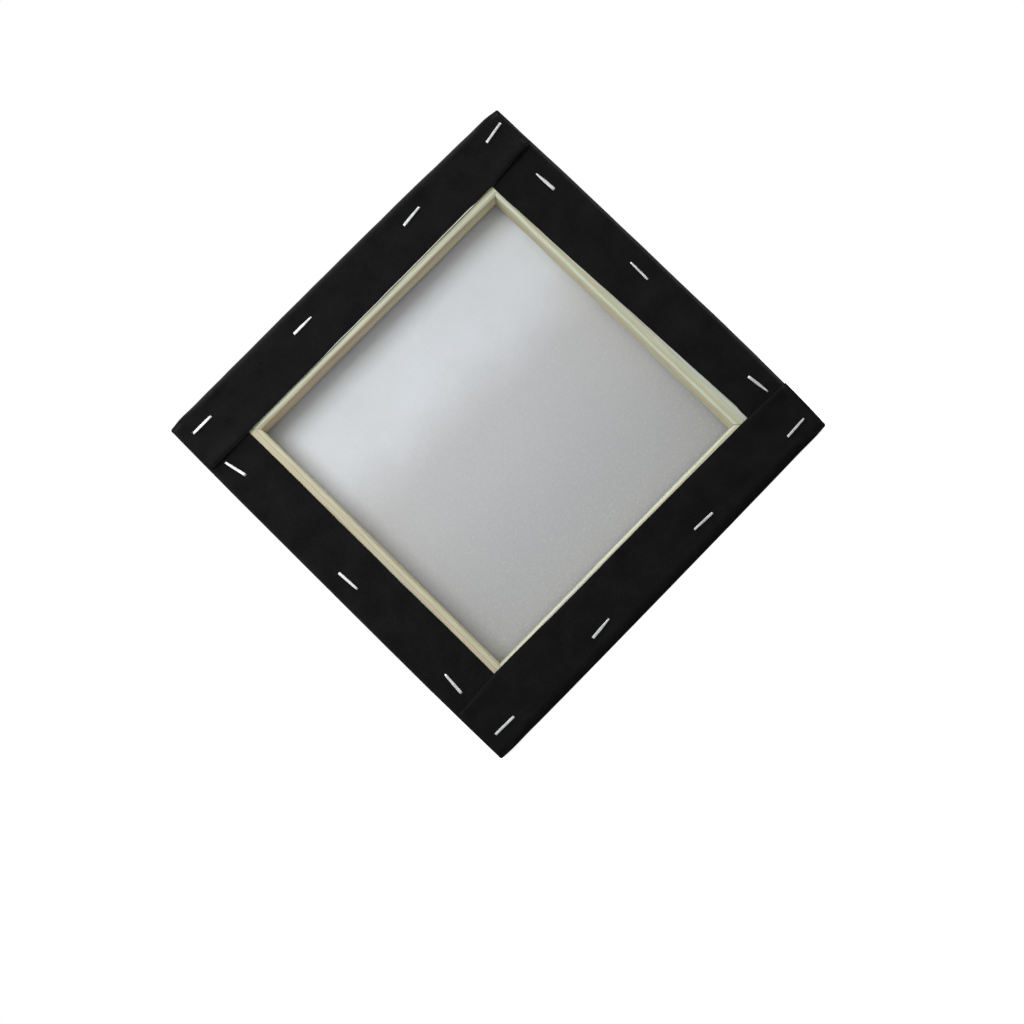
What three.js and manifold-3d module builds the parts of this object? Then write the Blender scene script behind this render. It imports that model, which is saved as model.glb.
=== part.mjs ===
// A small square stretched canvas: one sheet of primed cotton pulled over four
// mitred pine bars, wrapped round their edges and stapled to their backs.
//
// Millimetres. X is the width, Z is up and Y is the depth: the painting face
// looks along -Y and the open back along +Y. Left and right are as seen from the
// front. The canvas stands on its bottom edge, with the origin below its middle.

import * as THREE from 'three';
import { mergeVertices } from 'three/addons/utils/BufferGeometryUtils.js';
import Module from 'manifold-3d';

const wasm = await Module();
wasm.setup();

// ---------------------------------------------------------------- dimensions

const SIDE = 203.2; // width and height over the canvas, 8 in
const CLOTH = 0.5; // primed cotton duck
const GAP = 0.3; // left between pieces that touch

const BAR_WIDTH = 27.7; // outer edge to inner edge of a stretcher bar
const BAR_DEPTH = 15.2;
const BAR_LIP = 5.0; // raised rim that alone carries the painting face
const BAR_FALL = 2.3; // how far the bar's front falls away at its inner edge
const BAR_ROUND = 3.0; // radius of the inner back edge
const MITRE_GAP = 0.3;

const CORNER_RADIUS = 2.6; // the canvas's corners, seen from the front
const EDGE_RADIUS = 2.5; // the canvas where it wraps round the front and the back

// How far each flap reaches in from the outer edge, at its two ends.
const TOP_FLAP = { left: 24.4, right: 25.4 };
const BOTTOM_FLAP = { left: 26.2, right: 27.4 };
const LEFT_FLAP = { bottom: 22.3, top: 26.5 };
const RIGHT_FLAP = { bottom: 23.9, top: 23.6 };
// Where the long flaps' end folds meet the canvas's sides.
const TOP_FOLD = { left: 22.5, right: 25.6 };
const BOTTOM_FOLD = { left: 25.0, right: 26.0 };

const STAPLE_CROWN = 10.6;
const STAPLE_LEG = 8.0;
const STAPLE_SHOULDER = 1.0; // outside radius of the bends
const WIRE_WIDTH = 1.25;
const WIRE_THICKNESS = 0.5;
const STAPLE_LIFT = 0.1; // crown above the cloth
const LEG_CLEARANCE = 0.3;

const NAIL_WING = 6.0; // one arm of a V-nail
const NAIL_DEPTH = 10.0;
const NAIL_THICKNESS = 0.6;
const NAIL_INSETS = [12.5, 20.0]; // apex from both outer edges
const NAIL_SUNK = 0.2; // below the bar's back

// Levels along Y, from the painting face back to the staple crowns.
const DEPTH = CLOTH + GAP + BAR_DEPTH + GAP + 2 * CLOTH + STAPLE_LIFT + WIRE_THICKNESS;
const FRONT_Y = -DEPTH / 2;
const BAR_FRONT_Y = FRONT_Y + CLOTH + GAP;
const BAR_BACK_Y = BAR_FRONT_Y + BAR_DEPTH;
const FLAP_INSIDE_Y = BAR_BACK_Y + GAP;
const SHORT_FLAP_Y = FLAP_INSIDE_Y + CLOTH; // side flaps
const LONG_FLAP_Y = SHORT_FLAP_Y + CLOTH; // top and bottom flaps, lying over them

const HALF = SIDE / 2;
const PAST = 2; // cutters run this far past what they cut

// The staples on each side, driven by hand: where along the side, how far in from
// the outer edge, and how many degrees off square. The places run along +X on the
// top and bottom, and up the two sides.
const STAPLES = {
  top: {
    level: LONG_FLAP_Y,
    crowns: [[-92.6, 8.1, 9.9], [-40.3, 8.5, 5.8], [28.1, 8.9, 0], [89.8, 9.1, 0]],
  },
  bottom: {
    level: LONG_FLAP_Y,
    crowns: [[-90.5, 8.4, 2.6], [-33.0, 8.8, -3.0], [31.5, 8.3, 4.5], [90.0, 9.0, -1.5]],
  },
  left: {
    level: SHORT_FLAP_Y,
    crowns: [[-68.3, 8.4, 6.3], [4.0, 8.5, -1.3], [61.8, 8.6, 2.5]],
  },
  right: {
    level: SHORT_FLAP_Y,
    crowns: [[-64.5, 8.7, -4.0], [-1.0, 8.2, 3.5], [68.7, 8.3, 12.4]],
  },
};

// A side's own +Z is turned about Y to point out of the canvas.
const SIDE_TURN = { top: 0, right: Math.PI / 2, bottom: Math.PI, left: -Math.PI / 2 };

// ----------------------------------------------------------------- materials

const primedCotton = new THREE.MeshStandardMaterial({ color: 0x17171a, roughness: 0.85, metalness: 0 });
const pine = new THREE.MeshStandardMaterial({ color: 0xd3c9a4, roughness: 0.7, metalness: 0 });
const stapleSteel = new THREE.MeshStandardMaterial({ color: 0xd6d6d6, roughness: 0.3, metalness: 1 });
const nailSteel = new THREE.MeshStandardMaterial({ color: 0x8c8f94, roughness: 0.45, metalness: 1 });

// ------------------------------------------------------------ solid modelling

function toSolid(geometry) {
  const bare = geometry.clone();
  bare.deleteAttribute('normal');
  bare.deleteAttribute('uv');
  const merged = mergeVertices(bare, 1e-4);
  return new wasm.Manifold(new wasm.Mesh({
    numProp: 3,
    vertProperties: Float32Array.from(merged.attributes.position.array),
    triVerts: Uint32Array.from(merged.index.array),
  }));
}

function toGeometry(solid) {
  const mesh = solid.getMesh();
  const geometry = new THREE.BufferGeometry();
  geometry.setAttribute('position', new THREE.BufferAttribute(Float32Array.from(mesh.vertProperties), 3));
  geometry.setIndex(new THREE.BufferAttribute(Uint32Array.from(mesh.triVerts), 1));
  geometry.computeVertexNormals();
  return geometry;
}

// A closed outline of [x, z] points, extruded along Y between two levels.
function prism(outline, fromY, toY) {
  const shape = new THREE.Shape(outline.map(([x, z]) => new THREE.Vector2(x, z)));
  const geometry = new THREE.ExtrudeGeometry(shape, { depth: toY - fromY, bevelEnabled: false });
  geometry.rotateX(Math.PI / 2); // the outline's second axis becomes Z, its depth runs along -Y
  geometry.translate(0, toY, 0);
  return geometry;
}

// A square slab about the middle of the canvas, with rounded corners and edges.
function roundedSlab(side, fromY, toY, cornerRadius, edgeRadius) {
  const half = side / 2;
  const straight = half - cornerRadius;
  const shape = new THREE.Shape();
  shape.moveTo(-straight, -half);
  shape.lineTo(straight, -half);
  shape.absarc(straight, -straight, cornerRadius, -Math.PI / 2, 0, false);
  shape.lineTo(half, straight);
  shape.absarc(straight, straight, cornerRadius, 0, Math.PI / 2, false);
  shape.lineTo(-straight, half);
  shape.absarc(-straight, straight, cornerRadius, Math.PI / 2, Math.PI, false);
  shape.lineTo(-half, -straight);
  shape.absarc(-straight, -straight, cornerRadius, Math.PI, 1.5 * Math.PI, false);
  const geometry = new THREE.ExtrudeGeometry(shape, {
    depth: toY - fromY - 2 * edgeRadius,
    curveSegments: 3,
    bevelEnabled: true,
    bevelSegments: 3,
    bevelThickness: edgeRadius,
    bevelSize: edgeRadius,
    bevelOffset: -edgeRadius,
  });
  geometry.rotateX(Math.PI / 2);
  geometry.translate(0, toY - edgeRadius, 0);
  return geometry;
}

// -------------------------------------------------------------------- staples

// A U of flat wire: the crown lies along X with its top at y = 0, the legs run
// along -Y to cut points, and the wire's width is along Z.
function stapleGeometry() {
  const half = STAPLE_CROWN / 2;
  const bend = STAPLE_SHOULDER;
  const inner = bend - WIRE_THICKNESS;
  const shape = new THREE.Shape();
  shape.moveTo(half - WIRE_THICKNESS, -STAPLE_LEG);
  shape.lineTo(half, -STAPLE_LEG + WIRE_WIDTH);
  shape.lineTo(half, -bend);
  shape.absarc(half - bend, -bend, bend, 0, Math.PI / 2, false);
  shape.lineTo(bend - half, 0);
  shape.absarc(bend - half, -bend, bend, Math.PI / 2, Math.PI, false);
  shape.lineTo(-half, -STAPLE_LEG + WIRE_WIDTH);
  shape.lineTo(WIRE_THICKNESS - half, -STAPLE_LEG);
  shape.lineTo(WIRE_THICKNESS - half, -bend);
  shape.absarc(bend - half, -bend, inner, Math.PI, Math.PI / 2, true);
  shape.lineTo(half - bend, -WIRE_THICKNESS);
  shape.absarc(half - bend, -bend, inner, Math.PI / 2, 0, true);
  const geometry = new THREE.ExtrudeGeometry(shape, {
    depth: WIRE_WIDTH,
    curveSegments: 3,
    bevelEnabled: false,
  });
  geometry.translate(0, 0, -WIRE_WIDTH / 2);
  return geometry;
}

// Places a staple on its side of the canvas, as a matrix in the canvas's frame.
function stapleMatrix(side, [along, fromEdge, turnDegrees]) {
  const top = STAPLES[side].level + STAPLE_LIFT + WIRE_THICKNESS;
  const upright = side === 'left' || side === 'right';
  const inset = HALF - fromEdge;
  const outward = side === 'top' || side === 'right' ? inset : -inset;
  const position = upright
    ? new THREE.Vector3(outward, top, along)
    : new THREE.Vector3(along, top, outward);
  const turn = THREE.MathUtils.degToRad(turnDegrees) + (upright ? Math.PI / 2 : 0);
  const spin = new THREE.Quaternion().setFromAxisAngle(new THREE.Vector3(0, 1, 0), turn);
  return new THREE.Matrix4().compose(position, spin, new THREE.Vector3(1, 1, 1));
}

function stapleMatrices() {
  return Object.entries(STAPLES).flatMap(([side, { crowns }]) => (
    crowns.map((crown, index) => ({
      name: `staple_${side}_${index + 1}`,
      matrix: stapleMatrix(side, crown),
    }))
  ));
}

// The holes that every staple's two legs make, as one solid.
function legHoles() {
  const holes = [];
  for (const { matrix } of stapleMatrices()) {
    for (const end of [-1, 1]) {
      const box = new THREE.BoxGeometry(
        WIRE_THICKNESS + 2 * LEG_CLEARANCE,
        STAPLE_LEG + LEG_CLEARANCE,
        WIRE_WIDTH + 2 * LEG_CLEARANCE,
      );
      box.translate(end * (STAPLE_CROWN - WIRE_THICKNESS) / 2, -(STAPLE_LEG + LEG_CLEARANCE) / 2, 0);
      box.applyMatrix4(matrix);
      holes.push(toSolid(box));
    }
  }
  return wasm.Manifold.union(holes);
}

// -------------------------------------------------------------------- V-nails

// The V's outline in a corner's own axes: the apex points at the canvas's
// corner, and the wings run in along the two bars.
function nailOutline(inset, spread) {
  const near = inset - NAIL_THICKNESS / 2 - spread;
  const far = inset + NAIL_THICKNESS / 2 + spread;
  const end = inset + NAIL_WING + spread;
  return [[near, near], [end, near], [end, far], [far, far], [far, end], [near, end]];
}

// Turns distances in from a corner's two outer edges into the canvas's frame.
function fromCorner(outline, signX, signZ) {
  const points = outline.map(([x, z]) => [signX * (HALF - x), signZ * (HALF - z)]);
  return signX * signZ > 0 ? points : points.reverse();
}

function nails() {
  const list = [];
  for (const [row, signZ] of [['top', 1], ['bottom', -1]]) {
    for (const [column, signX] of [['left', -1], ['right', 1]]) {
      NAIL_INSETS.forEach((inset, index) => {
        const back = BAR_BACK_Y - NAIL_SUNK;
        const body = fromCorner(nailOutline(inset, 0), signX, signZ);
        const slot = fromCorner(nailOutline(inset, GAP), signX, signZ);
        list.push({
          name: `v_nail_${row}_${column}_${index === 0 ? 'outer' : 'inner'}`,
          body: prism(body, back - NAIL_DEPTH, back),
          slot: prism(slot, back - NAIL_DEPTH - GAP, BAR_BACK_Y + PAST),
        });
      });
    }
  }
  return list;
}

// ------------------------------------------------------------- stretcher bars

// The bar's section, as distances [in from the outer edge, back from the front].
function barSection() {
  const shape = new THREE.Shape();
  shape.moveTo(0, 0);
  shape.lineTo(BAR_LIP, 0);
  shape.lineTo(BAR_WIDTH, BAR_FALL);
  shape.lineTo(BAR_WIDTH, BAR_DEPTH - BAR_ROUND);
  shape.absarc(BAR_WIDTH - BAR_ROUND, BAR_DEPTH - BAR_ROUND, BAR_ROUND, 0, Math.PI / 2, false);
  shape.lineTo(0, BAR_DEPTH);
  return shape;
}

// The top bar, before its ends are mitred, running along X.
function barBlank() {
  const geometry = new THREE.ExtrudeGeometry(barSection(), {
    depth: SIDE,
    curveSegments: 5,
    bevelEnabled: false,
  });
  const outerZ = HALF - CLOTH - GAP;
  const axes = new THREE.Matrix4().makeBasis(
    new THREE.Vector3(0, 0, -1),
    new THREE.Vector3(0, 1, 0),
    new THREE.Vector3(1, 0, 0),
  );
  geometry.applyMatrix4(axes);
  geometry.translate(-HALF, BAR_FRONT_Y, outerZ);
  return geometry;
}

// What one bar keeps of the square: a wedge between its two mitres.
function mitreWedge() {
  const reach = HALF + PAST;
  const back = MITRE_GAP / Math.SQRT2;
  return prism([[0, back], [reach, reach + back], [-reach, reach + back]], FRONT_Y, LONG_FLAP_Y);
}

function barSolid(side, cutters) {
  const blank = toSolid(barBlank()).intersect(toSolid(mitreWedge()));
  const turned = blank.rotate([0, THREE.MathUtils.radToDeg(SIDE_TURN[side]), 0]);
  const shrink = CLOTH + GAP;
  const core = roundedSlab(
    SIDE - 2 * shrink,
    BAR_FRONT_Y,
    BAR_BACK_Y,
    CORNER_RADIUS - shrink,
    EDGE_RADIUS - shrink,
  );
  return turned.intersect(toSolid(core)).subtract(cutters);
}

// --------------------------------------------------------------------- canvas

// The corners of the opening between the flaps, as [x, z].
const OPENING = {
  topLeft: [LEFT_FLAP.top - HALF, HALF - TOP_FLAP.left],
  topRight: [HALF - RIGHT_FLAP.top, HALF - TOP_FLAP.right],
  bottomLeft: [LEFT_FLAP.bottom - HALF, BOTTOM_FLAP.left - HALF],
  bottomRight: [HALF - RIGHT_FLAP.bottom, BOTTOM_FLAP.right - HALF],
};

// A side flap's area, which lies one thickness of cloth below the long flaps.
function sideFlapOutline(sign, topCorner, bottomCorner, topFold, bottomFold) {
  const outside = sign * (HALF + PAST);
  const inside = sign * PAST;
  const outline = [
    [inside, bottomCorner[1]],
    bottomCorner,
    [outside, bottomFold - HALF],
    [outside, HALF - topFold],
    topCorner,
    [inside, topCorner[1]],
  ];
  return sign > 0 ? outline : outline.reverse();
}

function canvasSolid() {
  const outside = roundedSlab(SIDE, FRONT_Y, LONG_FLAP_Y, CORNER_RADIUS, EDGE_RADIUS);
  const inside = roundedSlab(
    SIDE - 2 * CLOTH,
    FRONT_Y + CLOTH,
    FLAP_INSIDE_Y,
    CORNER_RADIUS - CLOTH,
    EDGE_RADIUS - CLOTH,
  );
  const { topLeft, topRight, bottomLeft, bottomRight } = OPENING;
  const past = LONG_FLAP_Y + PAST;
  const opening = prism([bottomLeft, bottomRight, topRight, topLeft], 0, past);
  const leftStep = sideFlapOutline(-1, topLeft, bottomLeft, TOP_FOLD.left, BOTTOM_FOLD.left);
  const rightStep = sideFlapOutline(1, topRight, bottomRight, TOP_FOLD.right, BOTTOM_FOLD.right);
  return toSolid(outside)
    .subtract(toSolid(inside))
    .subtract(toSolid(opening))
    .subtract(toSolid(prism(leftStep, SHORT_FLAP_Y, past)))
    .subtract(toSolid(prism(rightStep, SHORT_FLAP_Y, past)))
    .subtract(legHoles());
}

// ------------------------------------------------------------------- assembly

function addMesh(group, name, geometry, material) {
  const mesh = new THREE.Mesh(geometry, material.clone());
  mesh.name = name;
  group.add(mesh);
  return mesh;
}

function stretchedCanvas() {
  const middle = new THREE.Group();
  middle.position.z = HALF;

  const nailList = nails();
  const cutters = wasm.Manifold.union([legHoles(), ...nailList.map(({ slot }) => toSolid(slot))]);
  for (const side of Object.keys(SIDE_TURN)) {
    addMesh(middle, `stretcher_bar_${side}`, toGeometry(barSolid(side, cutters)), pine);
  }
  addMesh(middle, 'canvas', toGeometry(canvasSolid()), primedCotton);

  for (const { name, body } of nailList) {
    addMesh(middle, name, body, nailSteel);
  }
  for (const { name, matrix } of stapleMatrices()) {
    const staple = addMesh(middle, name, stapleGeometry(), stapleSteel);
    matrix.decompose(staple.position, staple.quaternion, staple.scale);
  }

  const canvas = new THREE.Group();
  canvas.add(middle);
  return canvas;
}

export default stretchedCanvas();
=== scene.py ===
"""A small stretched canvas seen from its open back: black primed cotton over mitred pine bars.

Lengths are in millimetres about the middle of the square, X to the right as seen from the front,
Z up and Y towards the open back, until a mesh is made in metres in the frame of the CAD model.
"""
import math

import bmesh
import bpy
import numpy as np
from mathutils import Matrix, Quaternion, Vector


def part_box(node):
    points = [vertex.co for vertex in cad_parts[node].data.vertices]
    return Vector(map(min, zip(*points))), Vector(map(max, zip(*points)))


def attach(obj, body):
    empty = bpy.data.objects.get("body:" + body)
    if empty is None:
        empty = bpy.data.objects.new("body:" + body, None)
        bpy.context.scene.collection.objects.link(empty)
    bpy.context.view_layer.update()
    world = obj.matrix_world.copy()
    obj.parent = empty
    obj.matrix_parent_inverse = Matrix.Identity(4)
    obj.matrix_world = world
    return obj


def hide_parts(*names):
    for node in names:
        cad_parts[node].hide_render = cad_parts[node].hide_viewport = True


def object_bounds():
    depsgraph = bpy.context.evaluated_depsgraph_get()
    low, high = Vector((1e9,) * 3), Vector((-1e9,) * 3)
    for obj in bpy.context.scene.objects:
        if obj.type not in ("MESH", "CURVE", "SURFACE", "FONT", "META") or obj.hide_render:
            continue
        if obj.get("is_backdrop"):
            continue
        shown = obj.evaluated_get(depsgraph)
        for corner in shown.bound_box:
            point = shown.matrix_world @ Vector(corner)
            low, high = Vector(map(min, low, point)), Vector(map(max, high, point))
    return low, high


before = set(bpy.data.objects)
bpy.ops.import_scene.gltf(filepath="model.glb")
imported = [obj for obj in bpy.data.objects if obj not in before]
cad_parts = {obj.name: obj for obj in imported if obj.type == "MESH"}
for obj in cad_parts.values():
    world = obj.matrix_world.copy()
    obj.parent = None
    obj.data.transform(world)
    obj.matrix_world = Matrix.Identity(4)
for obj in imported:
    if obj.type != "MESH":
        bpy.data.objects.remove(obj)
CAD_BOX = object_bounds()

MM = 0.001
FLOOR_GAP = 0.05 * MM

# The square and its levels, read from the frame.
HALF = CAD_BOX[1].x / MM
MIDDLE = (CAD_BOX[0].z + CAD_BOX[1].z) / 2
FRONT = CAD_BOX[0].y / MM
BAR_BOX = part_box("stretcher_bar_top")
BAR_OUTER = BAR_BOX[1].z / MM - MIDDLE / MM
BAR_INNER = BAR_BOX[0].z / MM - MIDDLE / MM
BAR_FRONT = BAR_BOX[0].y / MM
BAR_BACK = BAR_BOX[1].y / MM

# The cloth. Levels and radii are those of its middle surface, and a fold end is a pair, low and high.
CLOTH = 0.42
WALL = HALF - CLOTH / 2
CORNER_RADIUS = 1.1
FRONT_RADIUS = 3.4
BACK_RADIUS = {"top": 3.4, "bottom": 4.4, "left": 2.2, "right": 1.8}
BACK_SQUARENESS = {"top": 2.0, "bottom": 2.0, "left": 1.2, "right": 2.0}
END_RADIUS = 1.0
BACK_CORNER = WALL - END_RADIUS
FRONT_LEVEL = FRONT + CLOTH / 2
SIDE_LEVEL = BAR_BACK + CLOTH / 2 + 0.05
LONG_LEVEL = SIDE_LEVEL + 0.34
CURL_RADIUS = 0.29
FOLD_LEVEL = SIDE_LEVEL + 4 * CURL_RADIUS
FOLD_END = {"top": (WALL - 1.8, WALL - 0.75), "bottom": (WALL - 0.75, WALL - 0.75)}
LAP_LIFT = 1.5

# How far the middle of each side bows out, and how far its low and high ends are drawn in from there.
BOWED_OUT = {"top": 1.18, "bottom": 1.15, "left": 1.20, "right": 0.50}
DRAWN_IN = {"top": (2.3, 1.55), "bottom": (0.75, 1.1), "left": (1.70, 1.05), "right": (0.8, 0.65)}
DRAWN_REACH = 20.0
BOW_START, BOW_END = 80.0, 99.0

# Places in the list of the cloth's materials. The inner side and the rim take the next place.
PRIMED = 0
FRAYED = 1
PRIMED_RIM = 3

# Widths of the flaps from the outer face, as (place along the flap, width).
FLAP_WIDTHS = {
    "top": [(-101.6, 22.5), (-75.1, 24.4), (78.0, 25.4), (101.6, 25.6)],
    "bottom": [(-101.6, 25.0), (-79.3, 26.2), (77.7, 27.4), (101.6, 26.0)],
    "left": [(-75.4, 22.3), (77.2, 26.5)],
    "right": [(-74.2, 23.9), (76.2, 23.6)],
}
LONG_SIDES = ("top", "bottom")
OPENING_HALF = 76.0
THREAD = 0.74

# Which way is outward on each bar, as (x, z).
OUTWARD = {"top": (0.0, 1.0), "bottom": (0.0, -1.0), "left": (-1.0, 0.0), "right": (1.0, 0.0)}

# The wood's bands on each bar, as (place, colour) from the foot of its inner wall up to its edge at 0,
# and on from there over its back. The white on the rounded inner edge of the left and bottom bars is
# partly pale early wood and partly painted highlight where that edge catches the light. The brown at
# the foot of the top bar's wall is painted shade.
WHITE = (0.62, 0.68, 0.56)
GREEN = (0.60, 0.62, 0.44)
CREAM = (0.64, 0.60, 0.42)
GOLD = (0.55, 0.49, 0.31)
TAN = (0.61, 0.49, 0.35)
BROWN = (0.42, 0.29, 0.20)
BAR_BANDS = {
    "top": [
        # Brown at the foot of the wall: painted shade.
        (-13.0, BROWN), (-10.5, CREAM), (-4.0, CREAM), (-1.2, TAN), (0.0, GOLD),
        (0.8, GREEN), (1.3, WHITE), (1.9, WHITE), (2.4, GREEN), (3.1, GOLD),
    ],
    # White on the rounded inner edge: partly pale wood, partly painted highlight.
    "bottom": [(-9.0, GREEN), (-1.5, WHITE), (0.2, WHITE), (1.2, CREAM), (4.0, GREEN)],
    "left": [
        (-14.0, GOLD), (-9.5, GREEN), (-7.5, GOLD), (-5.0, CREAM), (-2.5, GREEN),
        # White at 0.5, on the rounded inner edge: partly pale wood, partly painted highlight.
        (0.5, WHITE), (1.1, GREEN), (1.5, GOLD), (2.0, GREEN), (4.6, WHITE),
    ],
    "right": [
        (-9.0, GOLD), (-1.0, CREAM), (1.4, GREEN), (1.9, CREAM), (2.2, TAN),
        (2.5, WHITE), (2.9, CREAM), (3.3, TAN), (3.8, CREAM), (4.4, GREEN),
    ],
}

# Stretch of each cut edge where the coat has left the threads bare, as (place, width) at its two ends.
FRAYED_EDGES = {
    "top": ((-66.0, 0.34), (34.0, 0.20)),
    "bottom": ((10.0, 0.12), (52.0, 0.20)),
    "left": ((-80.0, 0.34), (14.0, 0.06)),
    "right": ((-48.0, 0.10), (-6.0, 0.16)),
}

# How far before a flap's last row the row that bounds its frayed strip is listed.
FRAY_SHARE = 0.01

# Staples as (place along the flap, distance from the outer face, turn in degrees).
STAPLES = {
    "top": [(-92.6, 8.1, 9.9), (-40.3, 8.5, 5.8), (28.1, 8.9, 0.0), (89.8, 9.1, 0.0)],
    "bottom": [(-90.5, 8.4, 2.6), (-33.0, 8.8, -3.0), (31.5, 8.3, 4.5), (90.0, 9.0, -1.5)],
    "left": [(-68.3, 8.4, 6.3), (4.0, 8.5, -1.3), (61.8, 8.6, 2.5)],
    "right": [(-64.5, 8.7, -4.0), (-1.0, 8.2, 3.5), (68.7, 8.3, 12.4)],
}

# Share of the wire's width that shows at the two ends of each crown, where it is twisted or sunk.
CROWN_ENDS = {
    "top": [(0.8, 0.9), (0.75, 1.0), (0.5, 1.0), (0.9, 0.95)],
    "bottom": [(0.6, 0.85), (0.9, 0.7), (0.6, 1.0), (0.9, 0.9)],
    "left": [(0.95, 0.5), (0.55, 0.75), (0.45, 1.1)],
    "right": [(0.7, 1.0), (0.95, 0.8), (0.8, 1.0)],
}
CROWN = 11.2
WIRE_WIDTH = 1.25
WIRE_THICKNESS = 0.5
SHOULDER = 0.7
LEG = 8.0
LEG_POINT = 1.6

SEED = 7


def smooth_step(value, low, high):
    """0 below low, 1 above high, and a smooth rise between them."""
    share = np.clip((value - low) / (high - low), 0.0, 1.0)
    return share * share * (3 - 2 * share)


def on_square(side, along, inset):
    """Plan position (x, z) of a point at a distance inset from the outer face of a side."""
    across = HALF - inset
    if side == "top":
        return along, across
    if side == "bottom":
        return along, -across
    if side == "left":
        return -across, along
    return across, along


def round_corners(x, z):
    """Bends the square's four corners in plan to quarter discs."""
    start = HALF - CORNER_RADIUS
    a = np.maximum(np.abs(x) - start, 0.0) / CORNER_RADIUS
    b = np.maximum(np.abs(z) - start, 0.0) / CORNER_RADIUS
    in_corner = (a > 0) & (b > 0)
    round_x = np.sign(x) * (start + CORNER_RADIUS * a * np.sqrt(np.maximum(1 - b * b / 2, 0.0)))
    round_z = np.sign(z) * (start + CORNER_RADIUS * b * np.sqrt(np.maximum(1 - a * a / 2, 0.0)))
    return np.where(in_corner, round_x, x), np.where(in_corner, round_z, z)


def bow(side, along):
    """How far a side's outline lies outside the straight square at a place along it."""
    low, high = DRAWN_IN[side]
    from_low = np.maximum(HALF + along, 0.0)
    from_high = np.maximum(HALF - along, 0.0)
    drawn = low * np.exp(-from_low / DRAWN_REACH) + high * np.exp(-from_high / DRAWN_REACH)
    return BOWED_OUT[side] - drawn


def settle(x, z):
    """Takes a point of the straight square to its place in plan, on the bowed outline."""
    x, z = round_corners(x, z)
    push_x = np.where(x > 0, bow("right", z), -bow("left", z))
    push_z = np.where(z > 0, bow("top", x), -bow("bottom", x))
    return (
        x + push_x * smooth_step(np.abs(x), BOW_START, BOW_END),
        z + push_z * smooth_step(np.abs(z), BOW_START, BOW_END),
    )


class Ripple:
    """Smooth seeded waves over a plane, about -1 to 1, with wavelengths between two lengths."""

    def __init__(self, seed, shortest, longest, waves=9):
        rng = np.random.default_rng(seed)
        length = rng.uniform(shortest, longest, waves)
        turn = rng.uniform(0, math.tau, waves)
        self.along = math.tau / length * np.cos(turn)
        self.across = math.tau / length * np.sin(turn)
        self.phase = rng.uniform(0, math.tau, waves)
        self.gain = math.sqrt(2.0 / waves) / 1.4

    def __call__(self, u, v):
        u, v = np.broadcast_arrays(np.asarray(u, float), np.asarray(v, float))
        waves = np.sin(u[..., None] * self.along + v[..., None] * self.across + self.phase)
        return waves.sum(-1) * self.gain


FLAP_RIPPLE = {side: Ripple(SEED + i, 16.0, 42.0) for i, side in enumerate(FLAP_WIDTHS)}
FINE_RIPPLE = Ripple(SEED + 11, 5.0, 11.0)
FRONT_RIPPLE = Ripple(SEED + 12, 30.0, 90.0)
EDGE_RIPPLE = Ripple(SEED + 13, 3.0, 25.0)
CUT_RIPPLE = Ripple(SEED + 14, 12.0, 50.0)


def flap_width(side, along):
    """Distance from the outer face to the flap's raw edge."""
    places, widths = zip(*FLAP_WIDTHS[side])
    return np.interp(along, places, widths) + 0.05 * CUT_RIPPLE(along, 31.0 * len(side))


def crown_place(side, place, edge, turn):
    """A staple's middle in plan and the direction of its crown, as two pairs (x, z)."""
    angle = math.radians(turn) + (0.0 if side in LONG_SIDES else math.pi / 2)
    return on_square(side, place, edge), (math.cos(angle), -math.sin(angle))


def seat_level(side, place):
    """Level of the cloth's middle surface where a crown holds it down."""
    if side not in LONG_SIDES:
        return SIDE_LEVEL
    if abs(place) > OPENING_HALF:
        return FOLD_LEVEL - 0.16
    return SIDE_LEVEL + 0.04


def press(side, x, z, level):
    """Presses a flap down where its staples hold it, with a soft crease past each end of a crown."""
    for place, edge, turn in STAPLES[side]:
        (middle_x, middle_z), (run, fall) = crown_place(side, place, edge, turn)
        u = (x - middle_x) * run + (z - middle_z) * fall
        v = (z - middle_z) * run - (x - middle_x) * fall
        past = np.maximum(np.abs(u) - CROWN / 2, 0.0)
        reach = np.hypot(past / 1.5, v)
        crease = np.exp(-((v / 1.3) ** 2)) * np.exp(-past / 6.0) * smooth_step(past, 0.0, 2.0)
        level = level - 0.14 * np.exp(-((reach / 2.2) ** 2))
        level = level - 0.22 * np.exp(-((reach / 5.5) ** 2)) - 0.18 * crease
        under = 1 - smooth_step(reach, WIRE_WIDTH / 2 + 0.05, WIRE_WIDTH / 2 + 0.5)
        level = level + (seat_level(side, place) - level) * under
    return level


def lap_lift(side, along, inset):
    """How far a long flap's cut edge stands up over the side flap, more towards the outline."""
    out = np.abs(along)
    cut = flap_width(side, along)
    near_cut = smooth_step(inset, cut - 8.0, cut)
    rise = 0.4 * smooth_step(out, 74.0, 79.0) + 0.6 * smooth_step(out, 80.0, 93.0)
    return LAP_LIFT * near_cut * rise * (1 - smooth_step(out, 97.0, 100.8))


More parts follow.
